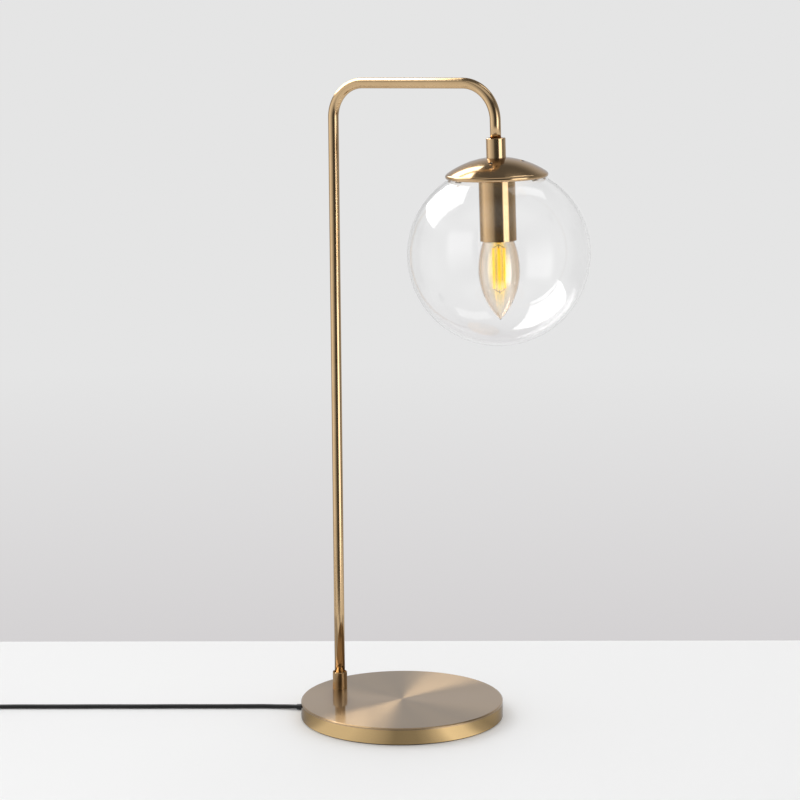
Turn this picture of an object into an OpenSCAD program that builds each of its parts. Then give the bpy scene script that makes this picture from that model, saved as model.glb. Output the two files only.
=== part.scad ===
// Bedside lamp: a weighted round base, a bent tube arm and a clear glass globe round a candle bulb.
// Millimetres, +Z up, origin on the table under the centre of the base, the arm reaching along +X.

/* [Base] */
// Diameter of the round base
base_d = 175; // [165:1:220]
// Height of the base
base_h = 15; // [14.5:0.5:20]
// Thickness of the spun cover over the weight
cover_wall = 1.2; // [0.8:0.1:1.6]
// Width of the bevel round the cover's top edge
base_bevel = 0.8; // [0.4:0.1:1.5]
// Thickness of the foot pad
pad_t = 2; // [1.5:0.25:2.5]
// How far the foot pad stands below the cover
pad_proud = 1; // [0.5:0.25:1.25]

/* [Post foot] */
// Distance of the post's centre line from the base's edge
post_inset = 23.5; // [21.5:0.5:29.5]
// Wall of the collar round the post's foot
collar_wall = 1.8; // [1.5:0.1:4]
// Height of the foot collar
collar_h = 15.4; // [12:0.2:22]
// Diameter of the hollow stud that clamps the post
stud_d = 8; // [7:0.5:9]
// Wall of the hollow stud
stud_wall = 1.4; // [1:0.1:1.6]
// How far the stud reaches up into the collar
stud_in = 5; // [4:0.5:7]
// Thickness of the nut under the base
nut_t = 4; // [3:0.25:4]
// Width of the foot nut across its flats
nut_flats = 13; // [12.5:0.5:14]
// Thickness of the washer under the base
washer_t = 1; // [0.6:0.1:1.2]
// Diameter of the washer under the base
washer_d = 22; // [18:0.5:25]

/* [Arm] */
// Outer diameter of the arm's tube
tube_d = 9; // [8:0.5:10]
// Wall of the tube
tube_wall = 0.9; // [0.6:0.1:1.2]
// Height of the bar's centre line where the first bend ends
arm_h = 546; // [450:1:650]
// Radius of both bends at the centre line
bend_r = 30; // [24:1:36]
// Straight length of the bar between the bends
bar_run = 98; // [88:1:140]
// Angle by which the bar rises, because the first bend stops short of square
arm_rise = 1.7; // [0:0.1:3]
// Straight tube between the second bend and the coupling
drop_run = 14.5; // [8:0.5:30]

/* [Coupling] */
// Wall of the coupling over the tube
coupling_wall = 3.6; // [3:0.05:5]
// Length of the coupling
coupling_len = 16.3; // [15:0.1:24]
// How far the tube reaches into the coupling
tube_in = 9; // [7:0.5:10]
// Diameter of the grub screw in the coupling
grub_d = 3; // [2.5:0.5:4]
// Diameter of the threaded nipple through the head
nipple_d = 10; // [9:0.5:10.5]
// Wall of the nipple
nipple_wall = 1.5; // [1:0.1:2]

/* [Dome] */
// Diameter of the dome over its rolled edge
dome_d = 85; // [80:0.2:92]
// Radius of the dome's curve
dome_curve = 72.5; // [66:0.5:90]
// Diameter of the rolled edge
bead_d = 4.4; // [3:0.1:5]
// Thickness of the spun sheet in the dome and the sleeve
sheet_t = 0.8; // [0.6:0.1:1]
// Number of vent holes round the dome
vents = 4; // [3:1:6]
// Diameter of the vent holes
vent_d = 4.2; // [2.5:0.1:5]
// Distance of the vent holes from the dome's axis
vent_offset = 21.5; // [20:0.5:30]

/* [Globe] */
// Largest diameter of the glass globe
globe_d = 151.4; // [142:0.2:170]
// Radius of the globe's curve above its widest level
shoulder_r = 73; // [66:0.5:75]
// Thickness of the glass
glass_t = 2; // [1.5:0.1:2.5]
// Diameter of the globe's mouth
mouth_d = 60; // [58:1:64]
// Thickness of the three-armed spring that holds the globe
spring_t = 0.8; // [0.6:0.1:1]
// Width of each spring arm
spring_w = 9; // [7:0.5:11]

/* [Lampholder] */
// Diameter of the sleeve round the lampholder
sleeve_d = 30.2; // [29:0.2:33]
// Length of the sleeve
sleeve_len = 64; // [58:0.2:66]
// Thickness of the lock nut inside the dome
lock_t = 2.5; // [2:0.25:3]
// Outer diameter of the lampholder
holder_d = 26.4; // [25:0.2:27]
// Wall of the lampholder's cap and skirt
holder_wall = 1.8; // [1.4:0.1:2.2]
// Inner diameter of the threaded shell that takes the bulb
shell_d = 14.3; // [14.2:0.05:14.5]

/* [Bulb] */
// Largest diameter of the candle bulb
bulb_d = 34.6; // [32:0.2:36]
// Length of the bulb's glass below the lampholder's mouth
bulb_len = 74; // [68:0.5:78]
// Distance from the lampholder's mouth to the widest part of the bulb
bulb_belly = 32.5; // [28:0.5:34]
// Diameter of each glowing filament
filament_d = 1.8; // [1.2:0.1:2.2]
// Length of each glowing filament
filament_len = 34; // [26:0.5:36]
// Number of filaments
filaments = 4; // [2:1:6]

/* [Cord] */
// Diameter of the black cord
cord_d = 3.8; // [3.4:0.1:4.2]
// Clear gap between neighbouring loops of the coil
coil_gap = 0.6; // [0.5:0.1:1]
// Radius of the coil's innermost loop at its centre line
coil_in_r = 16.8; // [16.8:0.2:20]
// Loops in the coil
coil_turns = 9.5; // [5.5:4:13.5]
// Layers in the coil
coil_layers = 4; // [4]
// Thickness of the tie round the coil
tie_t = 0.7; // [0.5:0.1:0.9]

/* [Switch] */
// Length of the switch
switch_len = 58; // [56:1:70]
// Width of the switch
switch_w = 24; // [22:1:30]
// Height of the switch's lower half, where the cord enters
switch_low_h = 7.5; // [7:0.5:9]
// Height of the whole switch without its rocker
switch_h = 16.5; // [16:0.5:20]
// Wall of the switch's two halves
switch_wall = 2; // [1.6:0.1:2.4]
// Length of the rocker
rocker_len = 20; // [16:0.5:24]
// Angle by which the rocker tips to each side
rocker_tip = 8; // [5:1:10]

/* [Plug] */
// Width of the plug
plug_w = 35.3; // [34:0.1:37]
// Thickness of the plug
plug_t = 13.7; // [12:0.1:15]
// Length of the plug's body without its strain relief
plug_len = 18; // [16:1:24]
// Diameter of the plug's pins
pin_d = 4; // [3.9:0.1:4.1]
// Length of the plug's pins
pin_len = 19; // [18:0.5:20]
// Distance between the pins
pin_gap = 19; // [18.6:0.1:19.2]

/* [Hidden] */

// Radial room of threaded and pushed fits, of loose holes, and between pieces that only lie together
fit = 0.03;
loose = 0.15;
rest = 0.3;
// Step and overlap where the post runs into the first bend
seam = 0.02;
seam_in = 0.4;
// Overshoot of cuts past the faces they open
over = 1;
// Gap that keeps the relief and the plug off the table
table_gap = 0.1;

// Tube, post and the plane of the arm
base_r = base_d / 2;
tube_r = tube_d / 2;
bore_r = tube_r - tube_wall;
post_x = post_inset - base_r;
bend_z = arm_h - bend_r;
bend_x = post_x + bend_r;
drop_x = bend_x + bar_run + bend_r;
mouth_room = 1.3;
mouth_depth = 1.2;

// Base and foot
weight_r = base_r - cover_wall - rest;
stud_r = stud_d / 2;
stud_bore_r = stud_r - stud_wall;
collar_r = tube_r + collar_wall;
stud_top = base_h + stud_in;
stud_low = 5.6;
nut_low = stud_low + 0.2;
washer_low = nut_low + nut_t;
pocket_top = washer_low + washer_t;
pocket_r = 14;
channel_w = 14;
channel_top = 6.5;

// Cord exit, low in the side of the base
exit_angle = 200;
exit_z = 2.6;
relief_r = 2.9;
flange_r = 3.6;
flange_t = 0.9;
relief_in = 13.5;
relief_out = 6.5;
relief_tip_r = 2.3;
relief_inner = base_r - cover_wall - relief_in;
relief_outer = base_r + relief_out;
lead_r = 1.5;
lead_z = 3.7;
lead_join = 12;

// The lead's slack under the base: across from the post, along as a share of the way to the relief, and up
lead_shape = [[0, 0.94, 3.7], [3, 0.86, 3.7], [4.4, 0.72, 3.7], [4.2, 0.52, 3.7], [3, 0.34, 3.7],
    [1.5, 0.18, 3.7], [0.5, 0.07, 4.5], [0.1, 0.02, 6.3], [0, 0, 9]];
slack_y = relief_inner * sin(exit_angle);
lead_points = [for (p = lead_shape) [post_x + p[0], slack_y * p[1], p[2]]];

// Depths below the bar's centre line, along the drop
coupling_r = tube_r + coupling_wall;
coupling_top = bend_r + drop_run;
tube_end = coupling_top + tube_in;
grub_depth = coupling_top + 5.5;
seat = coupling_top + coupling_len;
nipple_r = nipple_d / 2;
nipple_top = tube_end + 0.8;
spring_top = seat + sheet_t;
lock_top = spring_top + spring_t;
sleeve_top = lock_top + lock_t;
holder_top = sleeve_top + sheet_t;
sleeve_end = sleeve_top + sleeve_len;
nipple_end = holder_top + 9.4;

// Dome: a flat seat, a round curve and a rolled edge that the glass lies against
seat_r = max(coupling_r, nipple_r) + 2.1;
dome_r = dome_d / 2;
bead_r = bead_d / 2;
bead_x = dome_r - bead_r;
function sag(r) = dome_curve - sqrt(dome_curve * dome_curve - r * r);
function dome_depth(r) = seat + sag(r) - sag(seat_r);
bead_depth = dome_depth(bead_x) + bead_r + 0.7;
vent_turn = 18;

// Globe: half a ball below its widest level, a slightly smaller radius above, hung just under the rolled edge
globe_r = globe_d / 2;
shoulder_x = globe_r - shoulder_r;
mouth_r = mouth_d / 2;
globe_depth = bead_depth + sqrt(pow(shoulder_r + bead_r + rest, 2) - pow(bead_x - shoulder_x, 2));
function glass_in(r) = globe_depth - sqrt(pow(shoulder_r - glass_t, 2) - pow(r - shoulder_x, 2));

// Lampholder and the bulb's cap, to the standard size of a small screw cap
holder_r = holder_d / 2;
holder_room = holder_r - holder_wall;
holder_split = holder_top + 21.4;
core_top = holder_top + 13.4;
core_seat = holder_split + 2;
spigot_end = core_seat + 2.4;
shell_r = shell_d / 2;
shell_t = 0.5;
shell_end = spigot_end + 21.4;
holder_end = shell_end + 7;
contact_t = 0.8;
cap_tip = spigot_end + contact_t + 0.1;
cap_r = shell_r - 0.2;
cap_t = 0.4;
cap_shell = cap_tip + 3.9;
cap_skirt = cap_shell + 19.5;
cap_end = cap_skirt + 5.3;
cap_skirt_r = shell_r + 1.15;
neck_r = cap_skirt_r - cap_t - 0.05;

// Bulb: an arc above and an arc below the belly, closing at the tip
bulb_r = bulb_d / 2;
bulb_wall = 0.8;
belly_depth = cap_end + bulb_belly;
tip_depth = cap_end + bulb_len;
flare_depth = cap_end + 5;
neck_top = cap_skirt + 0.6;
upper_r = 70;
lower_r = (pow(tip_depth - belly_depth, 2) + bulb_r * bulb_r) / (2 * bulb_r);
function bulb_at(d) = d < belly_depth
    ? bulb_r - upper_r + sqrt(upper_r * upper_r - pow(belly_depth - d, 2))
    : bulb_r - lower_r + sqrt(lower_r * lower_r - pow(d - belly_depth, 2));
flare_r = bulb_at(flare_depth);
stem_end = cap_end + 11;
filament_c = 4.6;
filament_turn = 32;
filament_top = stem_end + 3;
wire_r = 0.35;

// Cord route on the table, in round numbers: out of the base, round a bend, then on and up to the switch
cord_r = cord_d / 2;
cord_heading = 210.6;
switch_pos = [-371, -195];
coil_pos = [-418, -255];
plug_pos = [-365, -256];
run_start = 14;
run_points = [[-105, -38.6, 2], [-112.5, -42.3, 2], [-120, -46.5, 2],
    [-150, -64.5, 2], [-180, -82, 2], [-210, -100, 2], [-240, -117.5, 2], [-270, -135.5, 2],
    [-300, -153, 2], [-318, -163.8, 2], [-326, -168.5, 3], [-333, -172.6, 5.2], [-339, -176.1, 7]];
link_points = [[-402, -213.3, 7.2], [-409, -217.5, 5.6], [-416, -221.7, 3.8], [-422, -225.3, 3]];
tail_points = [[-394, -272.7, 15.9], [-387, -268.6, 14], [-379, -263.9, 10.4], [-372, -259.8, 7.8]];

// Coil: every layer spirals in or out by the same number of loops
coil_pitch = cord_d + coil_gap;
layer_turns = coil_turns / coil_layers;
coil_out_r = coil_in_r + layer_turns * coil_pitch;
coil_low = tie_t + rest;
coil_start = cord_heading - 90;
loop_rings = 24;
plug_heading = cord_heading + coil_turns * 360 - 360 * floor(coil_turns);

// Switch
pivot_z = switch_h - 4;
rocker_w = 10.8;
trunnion_r = 1.5;
trunnion_fit = 0.05;
rocker_room = 0.5;
switch_round_x = switch_len / 2 + 2 - switch_w / 2;
crown_r = 2.4;
boss_r = 3;
boss_inset = 8;
screw_reach = 5.5;
post_gap = 0.4;
post_t = 1.6;

// Plug
relief_len = 20;
relief_wide = 5.2;
relief_end_r = cord_r + 0.7;
relief_grooves = 5;
plug_z = plug_t / 2 + table_gap;

function unit(v) = v / norm(v);
function flat_dir(a) = [cos(a), sin(a), 0];

// A point on a smooth curve through b and c
function curve(a, b, c, d, t) = 0.5 * (2 * b + (c - a) * t + (2 * a - 5 * b + 4 * c - d) * t * t
    + (3 * b - a - 3 * c + d) * t * t * t);
function smooth(p, step) = [for (i = [0 : len(p) - 2])
    let (a = p[max(i - 1, 0)], b = p[i], c = p[i + 1], d = p[min(i + 2, len(p) - 1)],
        n = ceil(norm(c - b) / step))
    for (j = [0 : n - 1]) curve(a, b, c, d, j / n), p[len(p) - 1]];
function path_length(p) = len(p) < 2 ? 0 : [for (i = 1, s = norm(p[1] - p[0]); i < len(p);
    i = i + 1, s = s + (i < len(p) ? norm(p[i] - p[i - 1]) : 0)) s][len(p) - 2];

// A closed tube swept along points, with a flat side down
module swept(p, r, sides, side_ref) {
    n = len(p);
    rings = [for (i = [0 : n - 1])
        let (t = unit(p[min(i + 1, n - 1)] - p[max(i - 1, 0)]), s = unit(cross(t, side_ref)), u = cross(s, t))
        for (k = [0 : sides - 1])
        let (a = 360 * (k + 0.5) / sides) p[i] + r * (cos(a) * s + sin(a) * u)];
    walls = [for (i = [0 : n - 2]) for (k = [0 : sides - 1])
        let (a = i * sides + k, b = i * sides + (k + 1) % sides)
        each [[a, a + sides, b], [b, a + sides, b + sides]]];
    starts = [for (k = [1 : sides - 2]) [0, k, k + 1]];
    m = (n - 1) * sides;
    ends = [for (k = [1 : sides - 2]) [m, m + k + 1, m + k]];
    polyhedron(rings, concat(walls, starts, ends));
}

// Outline of a bent strip of sheet, from its centre line
function strip(p, t) = let (n = len(p),
    side = [for (i = [0 : n - 1]) let (a = p[max(i - 1, 0)], b = p[i], c = p[min(i + 1, n - 1)],
        u = i == 0 ? unit(c - b) : unit(b - a), v = i == n - 1 ? u : unit(c - b), m = unit(u + v),
        k = t / 2 / (m * u)) k * [-m[1], m[0]]])
    concat([for (i = [0 : n - 1]) p[i] + side[i]], [for (i = [n - 1 : -1 : 0]) p[i] - side[i]]);

module at_post(z) {
    translate([post_x, 0, z]) children();
}

// Turns what lies past the first bend about the bend's centre, by the bar's rise
module in_arm() {
    translate([bend_x, 0, bend_z]) rotate([0, -arm_rise, 0]) translate([-bend_x, 0, -bend_z]) children();
}

// The drop's axis, with heights counted down from the bar's centre line
module in_head() {
    in_arm() translate([drop_x, 0, arm_h]) children();
}

// A piece turned on the drop's axis, from its radius and depth at each corner
module turned(corners) {
    in_head() rotate_extrude($fn = 96) polygon([for (c = corners) [c[0], -c[1]]]);
}

module at_exit() {
    rotate([0, 0, exit_angle]) translate([0, 0, exit_z]) rotate([0, 90, 0]) children();
}

module at_switch() {
    translate([switch_pos[0], switch_pos[1], 0]) rotate([0, 0, cord_heading]) children();
}

module at_plug() {
    translate([plug_pos[0], plug_pos[1], plug_z]) rotate([0, 0, plug_heading]) children();
}

module round_bar(p, q, r) {
    d = q - p;
    translate(p) rotate([0, acos(d[2] / norm(d)), atan2(d[1], d[0])]) cylinder(h = norm(d), r = r, $fn = 16);
}

// One length of the arm's line: the post, the bends, the bar and the drop, solid or as a pipe
module length_of(l, r, bore) {
    difference() {
        cylinder(h = l, r = r, $fn = 48);
        if (bore > 0) translate([0, 0, -over]) cylinder(h = l + 2 * over, r = bore, $fn = 48);
    }
}

module bend_of(from, sweep, r, bore) {
    rotate([90, 0, 0]) rotate([0, 0, from]) rotate_extrude(angle = sweep, $fn = 96) translate([bend_r, 0])
        difference() {
            circle(r = r, $fn = 48);
            if (bore > 0) circle(r = bore, $fn = 48);
        }
}

// The post ends a hair below the bend and goes on into it as a thinner ring, so that they join as one piece
module along_arm(low, end, r, bore) {
    at_post(low) length_of(bend_z - seam - low, r, bore);
    at_post(bend_z - 2 * seam) length_of(seam_in, r - seam, bore > 0 ? bore + seam : 0);
    in_arm() {
        translate([bend_x, 0, bend_z]) bend_of(90, 90 - arm_rise, r, bore);
        translate([bend_x, 0, arm_h]) rotate([0, 90, 0]) length_of(bar_run, r, bore);
        translate([drop_x - bend_r, 0, bend_z]) bend_of(0, 90, r, bore);
        translate([drop_x, 0, arm_h - end]) length_of(end - bend_r, r, bore);
    }
}

// Base

module exit_slot(inner, half_w, top) {
    rotate([0, 0, exit_angle]) translate([inner, -half_w, -over])
        cube([base_r - inner + over, 2 * half_w, top + over]);
}

module base_cover() {
    color("#b08d57") difference() {
        rotate_extrude($fn = 180) polygon([[0, base_h], [base_r - base_bevel, base_h],
            [base_r, base_h - base_bevel], [base_r, pad_proud], [base_r - cover_wall, pad_proud],
            [base_r - cover_wall, base_h - cover_wall], [0, base_h - cover_wall]]);
        at_post(base_h - cover_wall - over) cylinder(h = cover_wall + 2 * over, r = stud_r + loose, $fn = 48);
        exit_slot(base_r - cover_wall - over, relief_r + fit, exit_z);
        at_exit() translate([0, 0, base_r - cover_wall - over]) cylinder(h = cover_wall + 2 * over,
            r = relief_r + fit, $fn = 32);
    }
}

module base_weight() {
    color("#3c3a38") difference() {
        translate([0, 0, pad_t]) cylinder(h = base_h - cover_wall - pad_t, r = weight_r, $fn = 180);
        at_post(pad_t - over) cylinder(h = pocket_top - pad_t + over, r = pocket_r, $fn = 64);
        at_post(pad_t - over) cylinder(h = base_h, r = stud_r + loose, $fn = 48);
        translate([post_x - channel_w / 3, slack_y - 2 * lead_r, pad_t - over])
            cube([channel_w, 2 * lead_r - slack_y, channel_top - pad_t + over]);
        exit_slot(relief_inner - 4, flange_r + rest, exit_z + flange_r + rest);
    }
}

module base_pad() {
    color("#1d1d1f") difference() {
        cylinder(h = pad_t, r = weight_r, $fn = 180);
        exit_slot(relief_inner - rest, flange_r + rest, pad_t + over);
    }
}

module foot_collar() {
    color("#a8864f") at_post(0) rotate_extrude($fn = 64) polygon([[stud_r + fit, base_h],
        [collar_r, base_h], [collar_r, base_h + collar_h - 0.4], [collar_r - 0.4, base_h + collar_h],
        [tube_r + mouth_room, base_h + collar_h],
        [tube_r + mouth_room - 0.3, base_h + collar_h - mouth_depth],
        [tube_r + fit, base_h + collar_h - mouth_depth], [tube_r + fit, stud_top + 0.3],
        [stud_r + fit, stud_top + 0.3]]);
}

module foot_stud() {
    color("#b9b9b4") at_post(stud_low) difference() {
        cylinder(h = stud_top - stud_low, r = stud_r, $fn = 48);
        translate([0, 0, -over]) cylinder(h = stud_top - stud_low + 2 * over, r = stud_bore_r, $fn = 48);
    }
}

module foot_washer() {
    color("#c4c4c0") at_post(washer_low) difference() {
        cylinder(h = washer_t, d = washer_d, $fn = 64);
        translate([0, 0, -over]) cylinder(h = washer_t + 2 * over, r = stud_r + loose, $fn = 48);
    }
}

module foot_nut() {
    color("#c4c4c0") at_post(nut_low) difference() {
        cylinder(h = nut_t, d = nut_flats / cos(30), $fn = 6);
        translate([0, 0, -over]) cylinder(h = nut_t + 2 * over, r = stud_r + fit, $fn = 48);
    }
}

// The relief grips the cover's wall between two flanges, and is flat underneath so that it clears the table
module cord_relief() {
    inner_flange = base_r - cover_wall - fit;
    outer_flange = base_r + 0.1;
    color("#151515") intersection() {
        at_exit() rotate_extrude($fn = 32) polygon([[0, relief_inner], [relief_r, relief_inner],
            [relief_r, inner_flange - flange_t], [flange_r, inner_flange - flange_t],
            [flange_r, inner_flange], [relief_r, inner_flange],
            [relief_r, outer_flange], [flange_r, outer_flange],
            [flange_r, outer_flange + flange_t], [relief_r, outer_flange + flange_t],
            [relief_tip_r, relief_outer], [0, relief_outer]]);
        rotate([0, 0, exit_angle]) translate([relief_inner - over, -2 * flange_r, table_gap])
            cube([relief_outer - relief_inner + 2 * over, 4 * flange_r, 4 * flange_r]);
    }
}

module base_lead() {
    inner_face = relief_inner * flat_dir(exit_angle) + [0, 0, lead_z];
    color("#1a1a1a") swept(smooth(concat([inner_face], lead_points, [[post_x, 0, lead_join]]), 4), lead_r, 8,
        [0.94, -0.34, 0]);
}

// Arm

module arm_tube() {
    color("#b08d57") along_arm(stud_top + 0.6, tube_end, tube_r, bore_r);
}

module arm_lead() {
    color("#e8e4da") along_arm(lead_join, core_top, lead_r, 0);
}

// Head

module coupling() {
    step = tube_end + 0.4;
    color("#a8864f") difference() {
        turned([[coupling_r, coupling_top + 0.5], [coupling_r - 0.5, coupling_top],
            [tube_r + mouth_room, coupling_top], [tube_r + mouth_room - 0.3, coupling_top + mouth_depth],
            [tube_r + fit, coupling_top + mouth_depth], [tube_r + fit, step], [nipple_r + fit, step],
            [nipple_r + fit, seat], [coupling_r, seat]]);
        in_head() translate([0, 0, -grub_depth]) rotate([-90, 0, 0])
            cylinder(h = coupling_r + over, d = grub_d, $fn = 32);
    }
}

module coupling_screw() {
    color("#77736a") in_head() translate([0, tube_r + fit, -grub_depth]) rotate([-90, 0, 0])
        difference() {
            cylinder(h = coupling_wall - 0.5, r = grub_d / 2 - fit, $fn = 32);
            translate([0, 0, 1.6]) cylinder(h = coupling_wall, d = grub_d / 2, $fn = 6);
        }
}

module head_nipple() {
    color("#b9b9b4") in_head() translate([0, 0, -nipple_end]) difference() {
        cylinder(h = nipple_end - nipple_top, r = nipple_r, $fn = 48);
        translate([0, 0, -over]) cylinder(h = nipple_end - nipple_top + 2 * over, r = nipple_r - nipple_wall,
            $fn = 48);
    }
}

module dome_cap() {
    curve_depth = seat - sag(seat_r) + dome_curve;
    edge = bead_x + bead_r / 2;
    edge_depth = dome_depth(edge) + 2 * sheet_t;
    color("#b08d57") difference() {
        in_head() rotate_extrude($fn = 180) {
            translate([nipple_r + loose, -spring_top]) square([seat_r - nipple_r - loose + seam, sheet_t]);
            intersection() {
                translate([0, -curve_depth]) difference() {
                    circle(r = dome_curve, $fn = 360);
                    circle(r = dome_curve - sheet_t, $fn = 360);
                }
                translate([seat_r, -edge_depth]) square([edge - seat_r, edge_depth]);
            }
            translate([bead_x, -bead_depth]) circle(r = bead_r, $fn = 48);
        }
        in_head() for (i = [1:vents]) rotate([0, 0, vent_turn + i * 360 / vents])
            translate([vent_offset, 0, -bead_depth])
            cylinder(h = bead_depth - seat + over, d = vent_d, $fn = 32);
    }
}

// Three arms reach through the globe's mouth and hook under its rim
module globe_spring() {
    mid = spring_top + spring_t / 2;
    lift = rest + spring_t / 2 + 0.1;
    hook = [mouth_r + 1, mouth_r + 4.5];
    line = [[seat_r - 2, mid], [seat_r, mid], [mouth_r - 4.5, mid + 6.6],
        [mouth_r - 2, glass_in(hook[0]) - 0.6],
        [hook[0], glass_in(hook[0]) + lift], [hook[1], glass_in(hook[1]) + lift],
        [hook[1] + 1.6, glass_in(hook[1]) + lift + 1.8]];
    color("#9c9a94") difference() {
        in_head() {
            translate([0, 0, -spring_top - spring_t]) cylinder(h = spring_t, r = seat_r, $fn = 64);
            for (a = [0, 120, 240]) rotate([0, 0, a]) rotate([90, 0, 0])
                linear_extrude(spring_w, center = true)
                polygon(strip([for (p = line) [p[0], -p[1]]], spring_t));
        }
        in_head() translate([0, 0, -lock_top - over]) cylinder(h = spring_t + 2 * over, r = nipple_r + loose,
            $fn = 48);
    }
}

module lock_nut() {
    color("#c4c4c0") in_head() translate([0, 0, -sleeve_top]) difference() {
        cylinder(h = lock_t, d = (nipple_d + 4) / cos(30), $fn = 6);
        translate([0, 0, -over]) cylinder(h = lock_t + 2 * over, r = nipple_r + fit, $fn = 48);
    }
}

// The globe's outline on its own centre: one round below its widest level and another above
module globe_outline(inward) {
    r = globe_r - inward;
    intersection() {
        circle(r = r, $fn = 360);
        translate([-over, -r - over]) square(r + over);
    }
    intersection() {
        translate([shoulder_x, 0]) circle(r = shoulder_r - inward, $fn = 360);
        translate([-over, -r]) square([r + 2 * over, 2 * r]);
    }
}

module glass_globe() {
    color("#dfe8ea", 0.3) in_head() translate([0, 0, -globe_depth]) rotate_extrude($fn = 180) difference() {
        globe_outline(0);
        globe_outline(glass_t);
        translate([-over, 0]) square([mouth_r + over, globe_r]);
        translate([-2 * over, -globe_r - over]) square([2 * over, globe_r + 2 * over]);
    }
}

module holder_sleeve() {
    r = sleeve_d / 2;
    color("#a8864f") turned([[nipple_r + loose, sleeve_top], [r - 0.8, sleeve_top], [r, sleeve_top + 0.8],
        [r, sleeve_end], [r - sheet_t, sleeve_end], [r - sheet_t, sleeve_top + 1.2],
        [r - sheet_t - 0.4, sleeve_top + sheet_t], [nipple_r + loose, sleeve_top + sheet_t]]);
}

module holder_cap() {
    color("#242322") turned([[nipple_r + fit, holder_top], [nipple_r + 3, holder_top],
        [nipple_r + 3, holder_top + 5], [holder_r, holder_top + 9.5], [holder_r, holder_split],
        [holder_room, holder_split], [holder_room, holder_top + 12], [nipple_r + fit, holder_top + 12]]);
}

module holder_skirt() {
    bore = shell_r + shell_t + 0.1;
    wide = cap_skirt_r + 1.2;
    color("#242322") turned([[holder_room, holder_split], [holder_r, holder_split], [holder_r, holder_end],
        [wide, holder_end], [wide, shell_end + 0.4], [bore, shell_end + 0.4], [bore, core_seat],
        [holder_room, core_seat]]);
}

// The insulating core sits on the skirt's ledge, with a hole for each terminal screw
module holder_core() {
    color("#d9d2c4") difference() {
        turned([[0, core_top], [holder_room - 0.2, core_top], [holder_room - 0.2, core_seat],
            [shell_r + shell_t - 0.1, core_seat], [shell_r + shell_t - 0.1, spigot_end], [0, spigot_end]]);
        terminal_places() cylinder(h = 5, r = 1.2 + loose, $fn = 24);
    }
}

module terminal_places() {
    in_head() for (s = [-1, 1]) translate([s * 7, 0, -core_top - 4.5]) children();
}

module terminal_screws() {
    color("#b9a468") terminal_places() difference() {
        union() {
            translate([0, 0, 0.5]) cylinder(h = 4, r = 1.2, $fn = 24);
            translate([0, 0, 4.5]) cylinder(h = 1.1, r = 2.1, $fn = 32);
        }
        translate([-3, -0.35, 5.1]) cube([6, 0.7, 2]);
    }
}

module socket_shell() {
    out = shell_r + shell_t;
    color("#c9b26a") turned([[4.6, spigot_end], [out, spigot_end], [out, shell_end], [shell_r, shell_end],
        [shell_r, spigot_end + shell_t], [4.6, spigot_end + shell_t]]);
}

module centre_contact() {
    color("#c9a45a") turned([[0, spigot_end], [3, spigot_end], [2.4, spigot_end + contact_t],
        [0, spigot_end + contact_t]]);
}

// Bulb

module bulb_contact() {
    color("#c8c8c8") turned([[0, cap_tip], [1.6, cap_tip + 0.2], [2.5, cap_tip + 0.9], [2.6, cap_tip + 1.5],
        [0, cap_tip + 1.5]]);
}

module bulb_insulator() {
    color("#16161a") turned([[0, cap_tip + 1.5], [2.6, cap_tip + 1.5], [cap_r - 1.3, cap_shell],
        [cap_r - 1.3, cap_shell + 1], [0, cap_shell + 1]]);
}

module bulb_cap() {
    color("#c9c7c0") turned([[cap_r - 1.2, cap_shell], [cap_r - 1.2, cap_shell - 0.2],
        [cap_r, cap_shell + 1.2], [cap_r, cap_skirt - 2.5],
        [cap_skirt_r, cap_skirt], [cap_skirt_r, cap_end], [cap_skirt_r - cap_t, cap_end],
        [cap_skirt_r - cap_t, cap_skirt + 0.2], [cap_r - cap_t, cap_skirt - 2.3],
        [cap_r - cap_t, cap_shell + 1.4]]);
}

// The bulb's outline below a depth: a neck, a cone, the long arc above the belly and the one below it
module bulb_outline(inward, top) {
    widening = (flare_r - neck_r) * (tip_depth - cap_end) / (flare_depth - cap_end);
    intersection() {
        polygon([[-over, -top], [neck_r - inward, -top], [neck_r - inward, -cap_end],
            [neck_r - inward + widening, -tip_depth], [-over, -tip_depth]]);
        union() {
            translate([-over, -flare_depth]) square([neck_r + 2 * over, flare_depth - top]);
            intersection() {
                translate([bulb_r - upper_r, -belly_depth]) circle(r = upper_r - inward, $fn = 360);
                translate([-over, -belly_depth]) square([bulb_r + over, belly_depth - cap_end]);
            }
            intersection() {
                translate([bulb_r - lower_r, -belly_depth]) circle(r = lower_r - inward, $fn = 360);
                translate([-over, -tip_depth]) square([bulb_r + over, tip_depth - cap_end]);
            }
        }
    }
}

module bulb_glass() {
    color("#e8a860", 0.5) in_head() rotate_extrude($fn = 96) difference() {
        bulb_outline(0, neck_top);
        bulb_outline(bulb_wall, neck_top - over);
        translate([-2 * over, -tip_depth - over]) square([2 * over, tip_depth]);
    }
}

module bulb_stem() {
    neck_in = neck_r - bulb_wall - 0.05;
    color("#e9dcc0", 0.6) turned([[0, cap_skirt + 1], [neck_in, cap_skirt + 1], [neck_in, cap_skirt + 1.8],
        [3.2, cap_skirt + 4.5], [2.4, stem_end - 3], [1.6, stem_end], [0, stem_end]]);
}

function filament_at(k) = let (a = filament_turn + 360 * k / filaments) filament_c * [cos(a), sin(a)];

module bulb_wires() {
    low = filament_top + filament_len;
    hub = [0, 0, -low - 3];
    color("#b8b0a0") in_head() {
        translate([0, 0, -stem_end - 0.9]) cylinder(h = 0.9, r = 1.3, $fn = 24);
        for (k = [0 : filaments - 1]) let (f = filament_at(k)) {
            round_bar([0, 0, -stem_end - 0.5], [f[0], f[1], -filament_top], wire_r);
            round_bar(hub, [f[0], f[1], -low], wire_r);
        }
        translate(hub) sphere(r = 0.8, $fn = 20);
    }
}

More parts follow.
